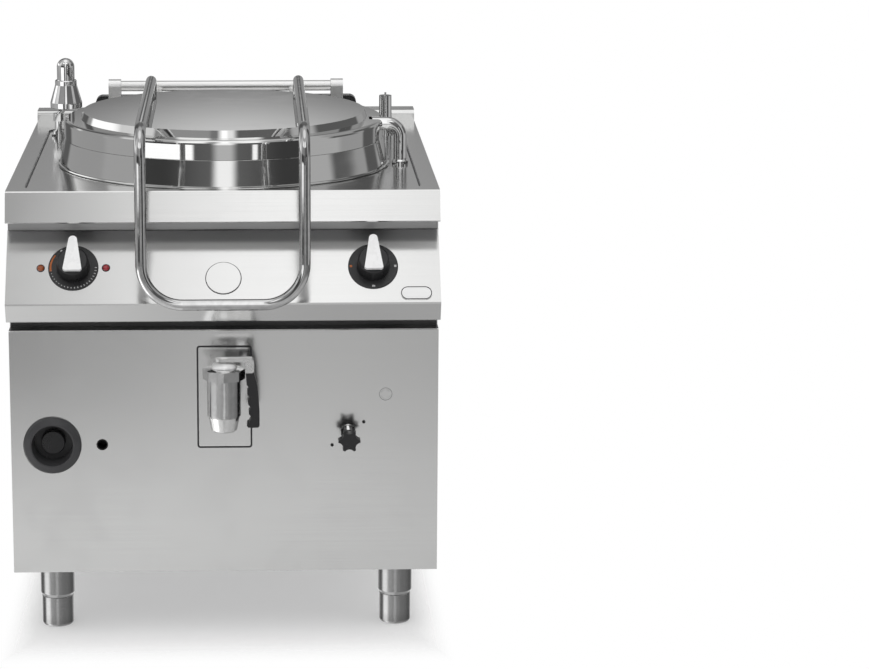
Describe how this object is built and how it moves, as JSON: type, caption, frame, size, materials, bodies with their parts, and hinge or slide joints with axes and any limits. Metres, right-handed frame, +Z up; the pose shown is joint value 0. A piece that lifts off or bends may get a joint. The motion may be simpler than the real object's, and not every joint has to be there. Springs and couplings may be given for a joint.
{
  "type": "boiling pan",
  "caption": "Free-standing steel boiling pan with a round hinged lid on a raised collar, drain tap, control panel, water spout and adjustable feet.",
  "frame": {"origin": "centre of the overall footprint on the floor", "axes": "+Z up, -Y towards the operator"},
  "size_m": [0.8, 1.024, 1.029],
  "materials": {
    "satin_steel": "satin, brushed",
    "polished_steel": "polished",
    "chrome": "bright",
    "black_enamel": "matt enamel",
    "black_plastic": "satin moulded",
    "black_dial": "satin",
    "satin_plastic": "satin silver",
    "amber_lens": "clear lens",
    "red_lens": "clear lens",
    "brass": "turned",
    "aluminium": "cast",
    "mineral_wool": "fibrous"
  },
  "bodies": {
    "cabinet": {"chassis_frame": "satin_steel", "base_plate": "satin_steel", "side_panels": "satin_steel", "rear_panel": "satin_steel", "front_panel": "satin_steel", "tap_cover_plate": "satin_steel", "worktop": "satin_steel", "rear_upstand": "satin_steel", "control_panel": "satin_steel", "leg_sleeves": "satin_steel", "vessel": "satin_steel", "pan_collar": "satin_steel", "jacket": "satin_steel", "combustion_chamber": "satin_steel", "burner": "satin_steel", "hinge_shaft": "satin_steel", "panel_cap": "satin_steel", "panel_screws": "satin_steel", "blanking_plug": "satin_steel", "panel_switches": "satin_steel", "hinge_brackets": "chrome", "tap_body": "chrome", "tap_cap_nut": "chrome", "tap_nozzle": "chrome", "water_spout": "chrome", "safety_pipe": "chrome", "vent_valve": "chrome", "level_cock": "chrome", "flue_cover": "black_enamel", "lagging": "mineral_wool", "drain_pipe": "satin_steel", "gas_knob_cup": "black_plastic", "gas_valve": "aluminium", "inlet_pipes": "brass", "sight_tube": "black_plastic", "knob_dials": "black_dial", "amber_lamp": "amber_lens", "red_lamp": "red_lens", "badge_plate": "satin_steel"},
    "lid": {"lid_shell": "polished_steel", "lid_inner_skin": "satin_steel", "lid_handle": "chrome", "hinge_arms": "satin_steel", "hinge_tube": "chrome"},
    "tap_lever": {"tap_plug": "brass", "tap_lever": "chrome", "tap_grip": "black_plastic"},
    "star_knob": {"star_knob": "black_plastic"},
    "gas_stem": {"gas_stem": "satin_steel"},
    "gas_knob": {"gas_knob": "black_plastic"},
    "temperature_knob": {"temp_knob": "black_plastic", "temp_pointer": "satin_plastic"},
    "fill_knob": {"fill_knob": "black_plastic", "fill_pointer": "satin_plastic"},
    "foot_front_left": {"foot_front_left": "satin_steel"},
    "foot_front_right": {"foot_front_right": "satin_steel"},
    "foot_rear_left": {"foot_rear_left": "satin_steel"},
    "foot_rear_right": {"foot_rear_right": "satin_steel"},
    "safety_bell": {"safety_bell": "chrome"},
    "vent_pin": {"vent_pin": "chrome"}
  },
  "joints": [
    {"name": "lid_hinge", "type": "hinge", "parent": "cabinet", "child": "lid", "pos_m": [0, 0.464, 0.9455], "axis": [-1, 0, 0], "range_deg": [0, 85], "stiffness_Nm_per_rad": 24, "springref_deg": 84.8},
    {"name": "tap_lever_turn", "type": "hinge", "parent": "cabinet", "child": "tap_lever", "pos_m": [0, -0.473, 0.5], "axis": [0, 0, 1], "range_deg": [-90, 0]},
    {"name": "level_cock_turn", "type": "hinge", "parent": "cabinet", "child": "star_knob", "pos_m": [0.2315, -0.42, 0.407], "axis": [0, -1, 0], "range_deg": [0, 360]},
    {"name": "gas_push", "type": "slide", "parent": "cabinet", "child": "gas_stem", "axis": [0, 1, 0], "range_m": [0, 0.004], "stiffness_N_per_m": 600},
    {"name": "gas_turn", "type": "hinge", "parent": "gas_stem", "child": "gas_knob", "pos_m": [-0.3227, -0.358, 0.3867], "axis": [0, -1, 0], "range_deg": [0, 150]},
    {"name": "temperature_turn", "type": "hinge", "parent": "cabinet", "child": "temperature_knob", "pos_m": [-0.2763, -0.39995, 0.72874], "axis": [0, -0.7837, 0.6211], "range_deg": [0, 270]},
    {"name": "fill_turn", "type": "hinge", "parent": "cabinet", "child": "fill_knob", "pos_m": [0.2763, -0.39995, 0.72874], "axis": [0, -0.7837, 0.6211], "range_deg": [-90, 90]},
    {"name": "foot_front_left_adjust", "type": "slide", "parent": "cabinet", "child": "foot_front_left", "axis": [0, 0, -1], "range_m": [0, 0.03]},
    {"name": "foot_front_right_adjust", "type": "slide", "parent": "cabinet", "child": "foot_front_right", "axis": [0, 0, -1], "range_m": [0, 0.03]},
    {"name": "foot_rear_left_adjust", "type": "slide", "parent": "cabinet", "child": "foot_rear_left", "axis": [0, 0, -1], "range_m": [0, 0.03]},
    {"name": "foot_rear_right_adjust", "type": "slide", "parent": "cabinet", "child": "foot_rear_right", "axis": [0, 0, -1], "range_m": [0, 0.03]},
    {"name": "safety_bell_lift", "type": "slide", "parent": "cabinet", "child": "safety_bell", "axis": [0, 0, 1], "range_m": [0, 0.004]},
    {"name": "vent_pin_press", "type": "slide", "parent": "cabinet", "child": "vent_pin", "axis": [0, 0, -1], "range_m": [0, 0.003], "stiffness_N_per_m": 200}
  ]
}
